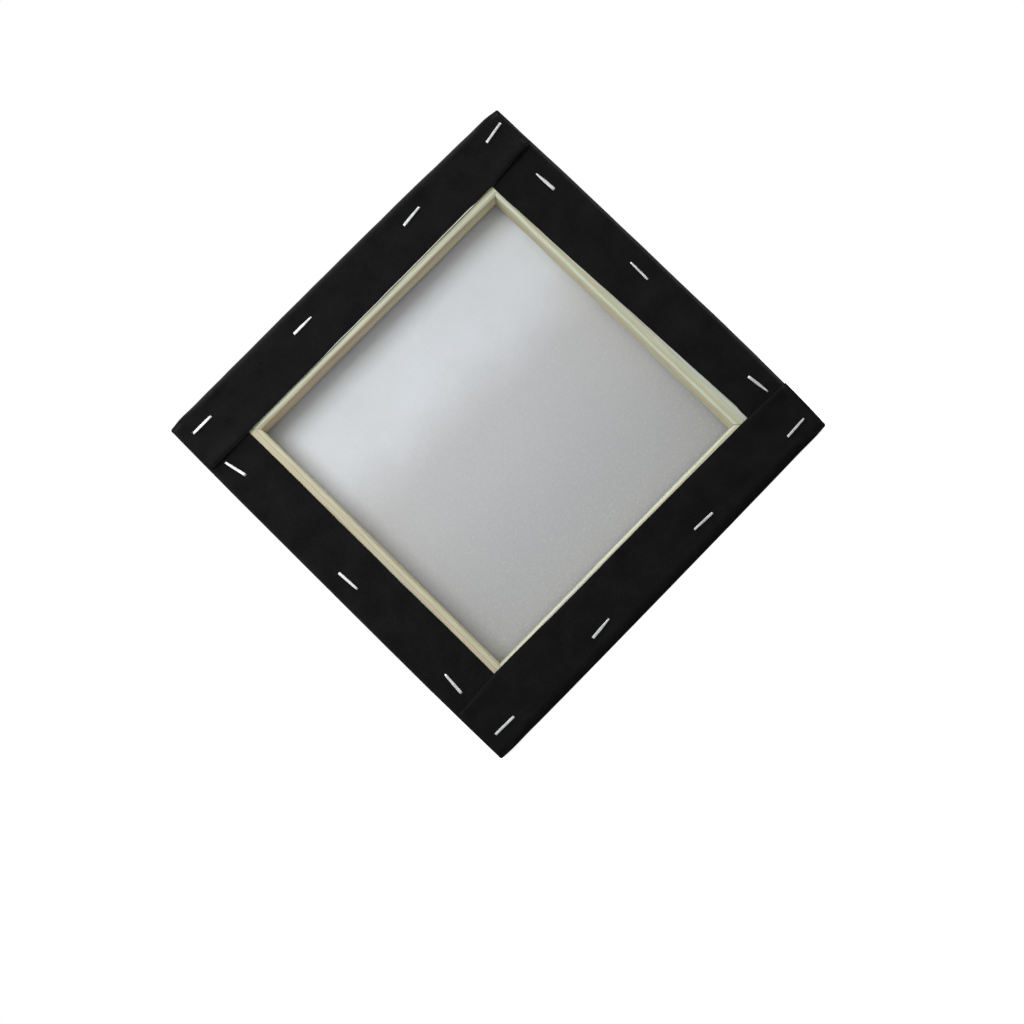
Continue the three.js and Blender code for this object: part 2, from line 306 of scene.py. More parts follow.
def flap_level(side, along, inset):
    """Level of a flap's middle surface, before its staples press it down, and its lowest level."""
    wave = 0.5 + 0.5 * np.clip(FLAP_RIPPLE[side](along, inset), -1, 1)
    fine = 0.025 * FINE_RIPPLE(along, inset)
    cut = flap_width(side, along)
    droop = 0.16 * smooth_step(inset, cut - 2.2, cut)
    if side in LONG_SIDES:
        over_side_flap = smooth_step(np.abs(along), 74.0, 79.0)
        over_corner = smooth_step(np.abs(along), 66.0, 84.0)
        droop = droop + 0.34 * smooth_step(inset, cut - 1.1, cut) * over_side_flap
        base = LONG_LEVEL + (FOLD_LEVEL - LONG_LEVEL) * over_corner
        level = base + (0.40 - 0.20 * over_corner) * (wave - 0.5) + lap_lift(side, along, inset)
        lowest = SIDE_LEVEL + (FOLD_LEVEL - 0.18 - SIDE_LEVEL) * over_corner
    else:
        under_long_flap = smooth_step(np.abs(along), 62.0, 73.0)
        level = SIDE_LEVEL + (1 - under_long_flap) * (0.04 + 0.38 * wave)
        lowest = np.full(level.shape, SIDE_LEVEL - 0.02)
        fine = fine * (1 - under_long_flap)
    return np.maximum(level + fine - droop, lowest), lowest


def side_stations():
    """Places along one side from -1 to 1, close together at the corners."""
    step, growth, widest = 0.2, 1.12, 1.15
    places = [0.0]
    while places[-1] < HALF:
        places.append(places[-1] + step)
        if places[-1] > 2 * CORNER_RADIUS:
            step = min(step * growth, widest)
    half = 1.0 - np.array(places) / places[-1]
    return np.concatenate([-half, half[-2::-1]])


def back_radius(side, along):
    """Radius of the turn over a back edge, the same for all sides at the corners."""
    at_corner = smooth_step(np.abs(along), HALF - 18.0, HALF - 3.0)
    return BACK_RADIUS[side] + (END_RADIUS - BACK_RADIUS[side]) * at_corner


def back_turn(side, along, radius, angle):
    """Inset and drop of the turn over a back edge at an angle from the wall's side to the back's."""
    at_corner = smooth_step(np.abs(along), HALF - 6.0, HALF - 1.5)
    power = 2 / (BACK_SQUARENESS[side] + (2.0 - BACK_SQUARENESS[side]) * at_corner)
    return radius * (1 - math.cos(angle) ** power), radius * (1 - math.sin(angle) ** power)


def wall_stations():
    """Rows on the way from the front face to the back plane, as (part, angle or share of height)."""
    front_arc = [("front", t) for t in np.linspace(0, math.pi / 2, 9)[1:]]
    straight = [("straight", share) for share in np.linspace(0, 1, 8)[1:-1]]
    back_arc = [("back", t) for t in np.linspace(0, math.pi / 2, 8)]
    return front_arc + straight + back_arc


class Sheet:
    """Collects the quads of the one cut of cloth, with their places on the flat cut."""

    def __init__(self):
        self.points = []
        self.faces = []
        self.places = []
        self.slots = []
        self.count = 0

    def add_points(self, x, y, z):
        """Adds a grid of points and returns the grid of their numbers."""
        x, y, z = np.broadcast_arrays(x, y, z)
        numbers = np.arange(self.count, self.count + x.size).reshape(x.shape)
        self.points.append(np.stack([x, y, z], -1).reshape(-1, 3))
        self.count += x.size
        return numbers

    def add_quads(self, numbers, u, v, slot=PRIMED):
        """Adds the quads of a grid of point numbers, where u and v are places on the flat cut."""
        u, v = np.broadcast_arrays(u, v)
        flat = np.stack([u, v], -1)
        rows, columns = numbers.shape
        slots = np.broadcast_to(slot, (columns - 1,))
        for i in range(rows - 1):
            for j in range(columns - 1):
                ring = ((i, j), (i + 1, j), (i + 1, j + 1), (i, j + 1))
                self.faces.append([int(numbers[c]) for c in ring])
                self.places.extend(flat[c] for c in ring)
                self.slots.append(int(slots[j]))

    def build(self, name, materials):
        """Makes the mesh, gives it its thickness and returns the object."""
        mesh = bpy.data.meshes.new(name)
        points = np.concatenate(self.points)
        mesh.from_pydata(to_frame(points), [], self.faces)
        layer = mesh.uv_layers.new(name="cut")
        layer.data.foreach_set("uv", np.array(self.places, np.float32).ravel())
        mesh.polygons.foreach_set("material_index", np.array(self.slots, np.int32))
        for material in materials:
            mesh.materials.append(material)
        turn_outwards(mesh)
        return thicken(name, mesh)


def to_frame(points):
    """Points in millimetres about the middle, as points in metres in the CAD frame."""
    moved = np.asarray(points, float) * MM
    moved[:, 2] += MIDDLE
    return moved


def turn_outwards(mesh):
    """Makes all faces point to the same side of the cloth, with the front face towards -Y."""
    work = bmesh.new()
    work.from_mesh(mesh)
    bmesh.ops.recalc_face_normals(work, faces=work.faces)
    work.faces.ensure_lookup_table()
    lowest = min(work.faces, key=lambda face: face.calc_center_median().y)
    if lowest.normal.y > 0:
        bmesh.ops.reverse_faces(work, faces=work.faces)
    work.to_mesh(mesh)
    work.free()


def thicken(name, mesh):
    """Gives the cloth its thickness, with the raw cotton inside and on the cut edges."""
    draft = bpy.data.objects.new(name + "_draft", mesh)
    bpy.context.collection.objects.link(draft)
    solidify = draft.modifiers.new("thickness", "SOLIDIFY")
    solidify.thickness = CLOTH * MM
    solidify.offset = 0.0
    solidify.material_offset = 1
    solidify.material_offset_rim = 1
    thick = draft.evaluated_get(bpy.context.evaluated_depsgraph_get())
    solid = bpy.data.meshes.new_from_object(thick)
    bpy.data.objects.remove(draft)
    return finish_mesh(name, solid)


def finish_mesh(name, mesh, sharp_above=40):
    """Shades a mesh smooth, with sharp edges above that angle in degrees, and links it as an object."""
    mesh.name = name
    mesh.polygons.foreach_set("use_smooth", [True] * len(mesh.polygons))
    mesh.set_sharp_from_angle(angle=math.radians(sharp_above))
    mesh.update()
    thing = bpy.data.objects.new(name, mesh)
    bpy.context.collection.objects.link(thing)
    return thing


def lap_offset(side, along, depth_share):
    """How far the walls stand out where the corner's spare cloth is folded in under the long sides."""
    from_corner = HALF - np.abs(along)
    if side in LONG_SIDES:
        layers = 1 - smooth_step(from_corner, 6.0, 20.0)
    else:
        layers = 1 - smooth_step(from_corner, 1.3, 2.1)
    return 0.08 * layers * smooth_step(depth_share, 0.0, 0.75)


def front_face(sheet, stations):
    """The stretched front, up to where the edge starts to turn."""
    reach = WALL - FRONT_RADIUS
    x = stations[:, None] * reach
    z = stations[None, :] * reach
    from_edge = HALF - np.maximum(np.abs(x), np.abs(z))
    calm = smooth_step(from_edge, 3.0, 20.0)
    y = FRONT_LEVEL + 0.05 * calm * FRONT_RIPPLE(x, z)
    plan_x, plan_z = settle(x + 0 * z, z + 0 * x)
    numbers = sheet.add_points(plan_x, y, plan_z)
    sheet.add_quads(numbers, x, z)
    return {
        "top": numbers[:, -1],
        "bottom": numbers[:, 0],
        "left": numbers[0, :],
        "right": numbers[-1, :],
    }


def back_level(side, along):
    """Level at which the cloth turns over the back edge."""
    level, _ = flap_level(side, along, back_radius(side, along))
    at_corner = smooth_step(np.abs(along), HALF - 8.0, BACK_CORNER)
    return level + (SIDE_LEVEL - level) * at_corner


def wall_row(side, stations, part, value):
    """One row of a side face, as places along it, insets from the wall and levels."""
    nominal = stations * WALL
    radius = back_radius(side, nominal)
    level = back_level(side, nominal)
    if part == "front":
        inset = FRONT_RADIUS * (1 - math.sin(value)) + 0 * nominal
        y = FRONT_LEVEL + FRONT_RADIUS * (1 - math.cos(value)) + 0 * nominal
    elif part == "straight":
        inset = 0.04 * EDGE_RIPPLE(nominal, 30 * value)
        low, high = FRONT_LEVEL + FRONT_RADIUS, level - radius
        y = low + (high - low) * value
    else:
        inset, drop = back_turn(side, nominal, radius, value)
        y = level - drop
    along = stations * (WALL - inset)
    share = (y - FRONT_LEVEL) / (level - FRONT_LEVEL)
    return along, inset - lap_offset(side, along, share), y


def walls(sheet, stations, border):
    """The four side faces, from the front edge to the back edge. Returns each side's last row."""
    corners = {}
    last = {}
    for side, first in border.items():
        rows = [first]
        run = WALL - FRONT_RADIUS
        runs = [run]
        middle = np.array([0.0, FRONT_LEVEL])
        for number, (part, value) in enumerate(wall_stations()):
            along, inset, y = wall_row(side, stations, part, value)
            x, z = settle(*on_square(side, along, inset + CLOTH / 2))
            numbers = sheet.add_points(x, y, z)
            for end in (0, -1):
                corner = (number, bool(x[end] > 0), bool(z[end] > 0))
                numbers[end] = corners.setdefault(corner, numbers[end])
            rows.append(numbers)
            centre = len(stations) // 2
            here = np.array([FRONT_RADIUS - inset[centre], y[centre]])
            run += float(np.linalg.norm(here - middle))
            middle = here
            runs.append(run)
        u = np.broadcast_to(stations * WALL, (len(rows), len(stations)))
        v = np.array(runs)[:, None] + 0 * u
        add_side_quads(sheet, side, np.array(rows), u, v)
        last[side] = (rows[-1], run)
    return last


def add_side_quads(sheet, side, numbers, u, v, slot=PRIMED):
    """Adds quads of a side, with their places on the flat cut turned as that side lies on it."""
    sign = -1 if side in ("bottom", "left") else 1
    if side in LONG_SIDES:
        sheet.add_quads(numbers, u, sign * v, slot)
    else:
        sheet.add_quads(numbers, sign * v, u, slot)


def row_shares():
    """Places of a flap's rows from 0 at the turned edge to 1 at the cut edge, close at the staples."""
    staples_low, staples_high = 0.19, 0.40
    return np.concatenate([
        np.linspace(0, staples_low, 7)[1:-1],
        np.linspace(staples_low, staples_high, 20),
        np.linspace(staples_high, 0.94, 14)[1:],
        [0.952, 0.963, 0.973, 0.982, 1.0 - FRAY_SHARE, 1.0],
    ])


def fray_width(side, along):
    """Width of the frayed strip along a cut edge, which runs out to nothing at its ends."""
    (low, low_width), (high, high_width) = FRAYED_EDGES[side]
    width = np.interp(along, (low, high), (low_width, high_width))
    ends = smooth_step(along, low, low + 4.0) * (1 - smooth_step(along, high - 9.0, high))
    return 0.02 + width * ends * (0.9 + 0.1 * EDGE_RIPPLE(along, 60.0))


def cut_edge_slots(side, nominal):
    """The material slot of each quad along a flap's cut edge."""
    middles = (nominal[1:] + nominal[:-1]) / 2
    slots = np.full(middles.shape, PRIMED)
    if side in LONG_SIDES:
        slots[np.abs(middles) > OPENING_HALF] = PRIMED_RIM
    (low, _), (high, _) = FRAYED_EDGES[side]
    slots[(middles > low) & (middles < high)] = FRAYED
    return slots


def flap(sheet, side, stations, first, run):
    """One flap, from the back edge to its cut edge. Long flaps run the whole length, ends folded."""
    long_side = side in LONG_SIDES
    nominal = stations * WALL
    radius = back_radius(side, nominal)
    width = flap_width(side, stations * BACK_CORNER)
    edge_level = back_level(side, nominal)
    rows, insets, level = [first], [radius], edge_level
    for share in row_shares():
        inset = radius + (width - radius) * share
        if share == 1.0 - FRAY_SHARE:
            inset = width - fray_width(side, nominal)
        grown = smooth_step(inset - radius, 0.0, 1.8)
        if long_side:
            along = stations * (BACK_CORNER + (fold_end(side, stations) - BACK_CORNER) * grown)
        else:
            along = stations * (BACK_CORNER - 0.5 * (inset - radius))
        x, z = settle(*on_square(side, along, inset + CLOTH / 2))
        free, lowest = flap_level(side, along, inset)
        level = np.maximum(press(side, x, z, free), lowest)
        level = edge_level + (level - edge_level) * grown
        rows.append(sheet.add_points(x, level, z))
        insets.append(inset)
    numbers, insets = np.array(rows), np.array(insets)
    u = np.broadcast_to(nominal, numbers.shape)
    v = run + insets - radius
    add_side_quads(sheet, side, numbers[:-1], u[:-1], v[:-1])
    add_side_quads(sheet, side, numbers[-2:], u[-2:], v[-2:], cut_edge_slots(side, nominal))
    if long_side:
        for end in (0, -1):
            start = int(np.argmax(insets[:, end] - END_RADIUS > 1.8))
            folded_end(sheet, side, stations[end], numbers[start:, end], insets[start:, end])


def fold_end(side, sign):
    """Distance from the middle to the folded end of a long flap, on the side of the sign."""
    low, high = FOLD_END[side]
    return np.where(np.asarray(sign) < 0, low, high)


def folded_end(sheet, side, sign, first, insets):
    """The end of a long flap, folded under itself, and the spare cloth tucked in behind it."""
    top_level = np.concatenate(sheet.points)[first, 1]
    end = float(fold_end(side, sign))
    tuck_slant = 0.8
    path = []
    for turn in np.linspace(0, math.pi, 8)[1:]:
        path.append((end + CURL_RADIUS * math.sin(turn), (1 - math.cos(turn)) / 2, 0.0))
    for share in np.linspace(0, 1, 9)[1:]:
        path.append((end, 1.0, share))
    columns = [first]
    for place, under, share in path:
        along = sign * (place - share * tuck_slant * insets)
        y = top_level + (FOLD_LEVEL - 2 * CURL_RADIUS - top_level) * under
        x, z = settle(*on_square(side, along, insets + CLOTH / 2))
        columns.append(sheet.add_points(x, y, z))
    numbers = np.array(columns)
    reach = WALL + np.arange(len(columns))[:, None] * 0.5 + 0 * insets[None, :]
    v = WALL + 16 + insets[None, :] + 0 * reach
    add_side_quads(sheet, side, numbers, sign * reach, v, PRIMED_RIM)


def make_node(tree, kind, properties=None, inputs=None):
    """Adds a node. An input's value is a number, a colour or another node's socket."""
    node = tree.nodes.new(kind)
    for name, value in (properties or {}).items():
        setattr(node, name, value)
    for key, value in (inputs or {}).items():
        if isinstance(value, bpy.types.NodeSocket):
            tree.links.new(value, node.inputs[key])
        else:
            node.inputs[key].default_value = value
    return node


class Finish:
    """A material under construction. Each method adds nodes and returns a socket."""

    def __init__(self, name):
        self.material = bpy.data.materials.new(name)
        self.material.use_nodes = True
        self.tree = self.material.node_tree
        self.tree.nodes.clear()

    def node(self, kind, properties=None, inputs=None):
        return make_node(self.tree, kind, properties, inputs)

    def math(self, operation, first, second=0.0, third=0.0):
        inputs = {0: first, 1: second, 2: third}
        return self.node("ShaderNodeMath", {"operation": operation}, inputs).outputs[0]

    def stretched(self, vector, scale, shift=(0.0, 0.0, 0.0)):
        inputs = {"Vector": vector, "Scale": scale, "Location": shift}
        return self.node("ShaderNodeMapping", {}, inputs).outputs[0]

    def noise(self, vector, scale, detail=2.0, roughness=0.5):
        inputs = {"Vector": vector, "Scale": scale, "Detail": detail, "Roughness": roughness}
        return self.node("ShaderNodeTexNoise", {}, inputs).outputs[0]

    def ramp(self, factor, stops):
        """A colour ramp, with its stops as (place, colour)."""
        made = self.node("ShaderNodeValToRGB", {}, {"Fac": factor})
        elements = made.color_ramp.elements
        while len(elements) < len(stops):
            elements.new(0.5)
        for element, (place, colour) in zip(elements, stops):
            element.position = place
            element.color = (*colour, 1.0)
        return made.outputs[0]

    def range(self, value, low, high, new_low=0.0, new_high=1.0):
        inputs = {0: value, 1: low, 2: high, 3: new_low, 4: new_high}
        return self.node("ShaderNodeMapRange", {"interpolation_type": "SMOOTHSTEP"}, inputs).outputs[0]

    def mix(self, factor, first, second, blend="MIX"):
        """Mixes two colours, where a plain colour has four numbers."""
        inputs = {0: factor, 6: first, 7: second}
        return self.node("ShaderNodeMix", {"data_type": "RGBA", "blend_type": blend}, inputs).outputs[2]

    def shaded(self, colour, dim):
        """A colour multiplied by a grey value."""
        grey = self.node("ShaderNodeCombineColor", {}, {0: dim, 1: dim, 2: dim}).outputs[0]
        return self.mix(1.0, colour, grey, "MULTIPLY")

    def bump(self, height, distance, strength):
        inputs = {"Height": height, "Distance": distance, "Strength": strength}
        return self.node("ShaderNodeBump", {}, inputs).outputs[0]

    def surface(self, **inputs):
        """Ends the material with the main shader. Names have _ for a space."""
        named = {key.replace("_", " "): value for key, value in inputs.items()}
        shader = self.node("ShaderNodeBsdfPrincipled", {}, named)
        output = self.node("ShaderNodeOutputMaterial")
        self.tree.links.new(shader.outputs[0], output.inputs[0])
        return self.material


def weave(finish, thread):
    """Height of a plain weave with threads that far apart, 0 to about 1, and the flat cut's place."""
    place = finish.node("ShaderNodeUVMap", {"uv_map": "cut"}).outputs[0]
    wander = finish.noise(place, 0.35, 3.0)
    push = finish.node("ShaderNodeCombineXYZ", {}, {0: wander, 1: wander}).outputs[0]
    inputs = {0: push, 1: (0.5, 0.5, 0.0), 2: place}
    shifted = finish.node("ShaderNodeVectorMath", {"operation": "MULTIPLY_ADD"}, inputs).outputs[0]
    parts = finish.node("ShaderNodeSeparateXYZ", {}, {0: shifted})
    warp = finish.math("SINE", finish.math("MULTIPLY", parts.outputs[0], math.pi / thread))
    weft = finish.math("SINE", finish.math("MULTIPLY", parts.outputs[1], math.pi / thread))
    crossing = finish.math("MULTIPLY", warp, weft)
    raised = finish.math("POWER", finish.math("ABSOLUTE", crossing), 0.6)
    height = finish.math("MULTIPLY_ADD", crossing, 0.3, raised)
    slub_u = finish.noise(finish.stretched(place, (0.12, 1.6, 1.0)), 1.0, 2.0)
    slub_v = finish.noise(finish.stretched(place, (1.6, 0.12, 1.0)), 1.0, 2.0)
    slubs = finish.math("MULTIPLY", slub_u, slub_v)
    return finish.math("MULTIPLY", height, finish.math("MULTIPLY_ADD", slubs, 1.6, 0.5)), place


def primed_cloth(name, light, dark):
    """Black gesso on cotton: matt, with the weave showing through and a faint mottle."""
    finish = Finish(name)
    height, place = weave(finish, THREAD)
    mottle = finish.noise(place, 0.09, 4.0, 0.6)
    speck = finish.noise(place, 2.6, 2.0, 0.7)
    base = finish.ramp(mottle, [(0.30, (dark, dark, dark)), (0.70, (light, light, 1.05 * light))])
    greyed = finish.range(finish.math("MULTIPLY", height, speck), 0.42, 0.75, 0.0, 0.55)
    colour = finish.mix(greyed, base, (0.017, 0.017, 0.018, 1.0))
    rough = finish.range(speck, 0.3, 0.7, 0.66, 0.86)
    return finish.surface(
        Base_Color=colour,
        Roughness=rough,
        Specular_IOR_Level=0.07,
        Sheen_Weight=0.08,
        Sheen_Roughness=0.4,
        Normal=finish.bump(height, 0.00012, 0.9),
    )


def raw_cloth():
    """The unprimed inner side of the cotton: cool white above, greyer below, with a fine weave."""
    finish = Finish("raw_cotton")
    height, place = weave(finish, THREAD)
    cloud = finish.noise(place, 0.03, 4.0, 0.55)
    tone = finish.ramp(cloud, [(0.30, (0.75, 0.785, 0.815)), (0.70, (0.80, 0.84, 0.885))])
    parts = finish.node("ShaderNodeSeparateXYZ", {}, {0: place})
    # Towards the bottom of the cut the cloth turns greyer and darker.
    reach = finish.math("MULTIPLY_ADD", cloud, 14.0, parts.outputs[1])
    grey_share = finish.range(reach, 12.0, 50.0, 1.0, 0.0)
    greyed = finish.ramp(finish.range(reach, -80.0, 30.0), [
        (0.0, (0.465, 0.472, 0.485)),
        (1.0, (0.595, 0.603, 0.615)),
    ])
    tone = finish.mix(grey_share, tone, greyed)
    fleck = finish.noise(place, 0.8, 4.0, 0.7)
    tone = finish.mix(finish.range(fleck, 0.52, 0.66, 0.0, 0.25), tone, (0.80, 0.74, 0.73, 1.0))
    # The weave's hollows are made a little darker in the colour: painted shade.
    relief = finish.math("MULTIPLY", height, finish.math("ADD", fleck, 0.5))
    return finish.surface(
        Base_Color=finish.shaded(tone, finish.range(relief, 0.0, 0.6, 0.90, 1.02)),
        Roughness=0.92,
        Specular_IOR_Level=0.12,
        Normal=finish.bump(height, 0.00006, 0.6),
    )


def slant_across(finish, place, side):
    """Where a point lies across a bar: over 0 on its back, under 0 on its inner wall."""
    out_x, out_z = OUTWARD[side]
    inputs = {0: place, 1: (out_x, 1.0, out_z)}
    reach = finish.node("ShaderNodeVectorMath", {"operation": "DOT_PRODUCT"}, inputs).outputs["Value"]
    from_edge = finish.math("SUBTRACT", reach, (BAR_INNER + BAR_BACK) * MM + MIDDLE * out_z)
    return finish.math("DIVIDE", from_edge, MM)


def bar_tone(finish, place, grain, side):
    """Colour of the bands across the bar, which drift a little along it: early wood, and in some bands
    painted highlight and shade.
    """
    bands = BAR_BANDS[side]
    low, high = bands[0][0], bands[-1][0]
    uneven = finish.noise(finish.stretched(grain, (0.45, 0.45, 0.45)), 1.0, 3.0)
    drift = finish.range(uneven, 0.3, 0.7, -0.4, 0.4)
    above = finish.math("SUBTRACT", finish.math("ADD", slant_across(finish, place, side), drift), low)
    share = finish.math("DIVIDE", above, high - low)
    return finish.ramp(share, [((at - low) / (high - low), colour) for at, colour in bands])


def ring_lines(finish, place, grain, flat, pith):
    """Strength of the thin dark line at the end of each growth ring, stronger in places."""
    ring_width = 1.7
    inputs = {0: finish.stretched(place, flat, pith)}
    far = finish.node("ShaderNodeVectorMath", {"operation": "LENGTH"}, inputs).outputs["Value"]
    wander = finish.noise(finish.stretched(grain, (0.11, 0.11, 0.11)), 1.0, 3.0)
    age = finish.math("ADD", far, finish.math("MULTIPLY", wander, 5.0))
    ring = finish.range(finish.math("FRACT", finish.math("DIVIDE", age, ring_width)), 0.45, 0.96)
    uneven = finish.noise(finish.stretched(grain, (0.3, 0.3, 0.3)), 1.0, 2.0)
    return finish.math("MULTIPLY", ring, finish.range(uneven, 0.35, 0.62, 0.25, 1.0))


def painted_foot_shade(finish, place, grain, strength):
    """Strength of the red-brown painted shade at the foot of a bar's inner wall, in long patches."""
    depth = finish.node("ShaderNodeSeparateXYZ", {}, {0: place}).outputs[1]
    patches = finish.noise(finish.stretched(grain, (0.06, 0.06, 0.06)), 1.0, 1.0)
    near = finish.range(depth, -4.6 * MM, -1.8 * MM, strength, 0.0)
    return finish.math("MULTIPLY", near, finish.range(patches, 0.46, 0.54))


def pine(side, pith, ring_strength, streak_and_shade_strength):
    """Planed pine: bands of early wood from gold to greenish white, with a thin brown line at each ring.

    Pith is the place of the tree's middle. The strengths are those of the rings' brown lines and of the
    red-brown streaks together with the red-brown painted shade at the foot of the inner wall. Some of
    the bands at the inner edge are painted highlight and shade.
    """
    finish = Finish(f"pine_{side}")
    place = finish.node("ShaderNodeTexCoord").outputs["Object"]
    across, drawn_out = 1 / MM, 14.0
    if side in LONG_SIDES:
        scale, flat = (drawn_out, across, across), (0.0, across, across)
    else:
        scale, flat = (across, across, drawn_out), (across, across, 0.0)
    grain = finish.stretched(place, scale, pith)
    colour = bar_tone(finish, place, grain, side)
    lines = finish.math("MULTIPLY", ring_lines(finish, place, grain, flat, pith), ring_strength)
    colour = finish.mix(lines, colour, (0.36, 0.25, 0.14, 1.0))
    uneven = finish.noise(finish.stretched(grain, (0.7, 0.7, 0.7)), 1.0, 2.0)
    streaks = finish.range(uneven, 0.54, 0.68, 0.0, streak_and_shade_strength)
    colour = finish.mix(streaks, colour, (0.40, 0.23, 0.15, 1.0))
    # Red-brown painted shade at the foot of the inner wall, in long patches.
    colour = finish.mix(painted_foot_shade(finish, place, grain, streak_and_shade_strength), colour, (0.27, 0.13, 0.09, 1.0))
    fibre = finish.noise(finish.stretched(grain, (5.0, 5.0, 5.0)), 1.0, 3.0, 0.6)
    return finish.surface(
        Base_Color=finish.shaded(colour, finish.range(fibre, 0.35, 0.62, 0.86, 1.05)),
        Roughness=finish.range(fibre, 0.3, 0.7, 0.55, 0.78),
        Specular_IOR_Level=0.3,
        Normal=finish.bump(fibre, 0.00012, 0.5),
    )


def steel(name, bright, rough_low, rough_high):
    """Galvanised wire or strip: bright, brushed along its length, with duller worn places."""
    finish = Finish(name)
    place = finish.node("ShaderNodeTexCoord").outputs["Object"]
    fine = finish.noise(place, 2400.0, 3.0, 0.6)
    dull = finish.noise(place, 420.0, 2.0)
    colour = finish.ramp(dull, [(0.35, tuple(0.80 * c for c in bright)), (0.60, bright)])
    return finish.surface(
        Base_Color=colour,
        Metallic=1.0,
        Roughness=finish.range(fine, 0.3, 0.7, rough_low, rough_high),
        Normal=finish.bump(fine, 0.00002, 0.4),
    )


def bar_section(side):
    """Outline of a bar across its length, as (inset from the bar's outer edge, level)."""
    width = BAR_OUTER - BAR_INNER
    lip, fall, inner_round, bevel = 5.0, 2.3, 1.3, 0.6
    back_round, front_round = BACK_RADIUS[side], FRONT_RADIUS
    outline = []
    for start, end, count in (
        ((front_round, BAR_FRONT), (lip, BAR_FRONT), 4),
        ((lip, BAR_FRONT), (width - bevel, BAR_FRONT + fall), 12),
    ):
        for share in np.linspace(0, 1, count, endpoint=False):
            outline.append(tuple(np.array(start) + share * (np.array(end) - np.array(start))))
    for t in np.linspace(0, math.pi / 2, 4):
        level = BAR_FRONT + fall + bevel
        outline.append((width - bevel + bevel * math.sin(t), level - bevel * math.cos(t)))
    top = BAR_BACK - inner_round
    low = BAR_FRONT + fall + bevel
    for share in np.linspace(0, 1, 9)[1:-1]:
        outline.append((width, low + (top - low) * share))
    turned = width - inner_round
    for t in np.linspace(0, math.pi / 2, 11):
        outline.append((turned + inner_round * math.cos(t), top + inner_round * math.sin(t)))
    for share in np.linspace(0, 1, 12)[1:-1]:
        outline.append((turned + (back_round - turned) * share, BAR_BACK))
    for t in np.linspace(math.pi / 2, 0, 8):
        inset, drop = back_turn(side, 0.0, back_round, t)
        outline.append((inset, BAR_BACK - drop))
    for t in np.linspace(0, math.pi / 2, 8):
        inset = front_round * (1 - math.cos(t))
        outline.append((inset, BAR_FRONT + front_round * (1 - math.sin(t))))
    return np.array(outline[:-1])


def stretcher_bar(side, material):
    """One mitred bar of planed pine, a little uneven along its inner edge."""
    section = bar_section(side)
    gap = 0.06
    shares = np.linspace(-1, 1, 121)
    uneven = Ripple(SEED + 20 + len(side), 25.0, 80.0)
    inset = section[:, 0][None, :]
    level = section[:, 1][None, :]
    half_length = BAR_OUTER - inset - gap
    along = shares[:, None] * half_length
    inner = smooth_step(inset, 20.0, 27.0)
    inset = inset + 0.09 * inner * uneven(along, 3 * level)
    x, z = settle(*on_square(side, along, inset + HALF - BAR_OUTER))
    y = level + 0.04 * uneven(along, 40 + inset) * (level > 0)
    x, y, z = np.broadcast_arrays(x, y, z)
    mesh = closed_skin("bar", np.stack([x, y, z], -1).reshape(-1, 3), *x.shape)
    mesh.materials.append(material)
    return finish_mesh(f"pine_bar_{side}", mesh, sharp_above=35)


def closed_skin(name, points, rows, columns):
    """A mesh through rows of points that each go once round a section, closed at both ends."""
    faces = []
    for i in range(rows - 1):
        here, onward = i * columns, (i + 1) * columns
        for j in range(columns):
            k = (j + 1) % columns
            faces.append((here + j, here + k, onward + k, onward + j))
    faces.append(list(range(columns)))
    faces.append(list(range((rows - 1) * columns, rows * columns)))
    mesh = bpy.data.meshes.new(name)
    mesh.from_pydata(to_frame(points), [], faces)
    close_outwards(mesh)
    return mesh


def close_outwards(mesh):
    """Points the faces of a closed mesh outwards and splits its many-sided ends into triangles."""
    work = bmesh.new()
    work.from_mesh(mesh)
    bmesh.ops.recalc_face_normals(work, faces=work.faces)
    bmesh.ops.triangulate(work, faces=[face for face in work.faces if len(face.verts) > 4])
    work.to_mesh(mesh)
    work.free()


def staple_path():
    """The middle line of a staple's wire, as (place along the crown, height, direction)."""
    half = CROWN / 2 - WIRE_THICKNESS / 2
    upright = math.pi / 2
    bend = [(-half, -LEG, upright), (-half, -LEG + LEG_POINT, upright), (-half, -SHOULDER, upright)]
    for t in np.linspace(0, upright, 7)[1:]:
        place = -half + SHOULDER * (1 - math.cos(t))
        bend.append((place, SHOULDER * (math.sin(t) - 1), upright - t))
    crown = [(share * (half - SHOULDER), 0.0, 0.0) for share in np.linspace(-1, 1, 7)[1:-1]]
    mirrored = [(-place, height, -turn) for place, height, turn in reversed(bend)]
    return bend + crown + mirrored


def wire_section():
    """Outline of the flat wire, as (across, out), with rounded corners."""
    corner = 0.14
    outline = []
    for middle_across, middle_out, start in (
        (WIRE_WIDTH / 2 - corner, WIRE_THICKNESS / 2 - corner, 0.0),
        (-WIRE_WIDTH / 2 + corner, WIRE_THICKNESS / 2 - corner, math.pi / 2),
        (-WIRE_WIDTH / 2 + corner, -WIRE_THICKNESS / 2 + corner, math.pi),
        (WIRE_WIDTH / 2 - corner, -WIRE_THICKNESS / 2 + corner, 1.5 * math.pi),
    ):
        for t in np.linspace(start, start + math.pi / 2, 4):
            outline.append((middle_across + corner * math.cos(t), middle_out + corner * math.sin(t)))
    return outline


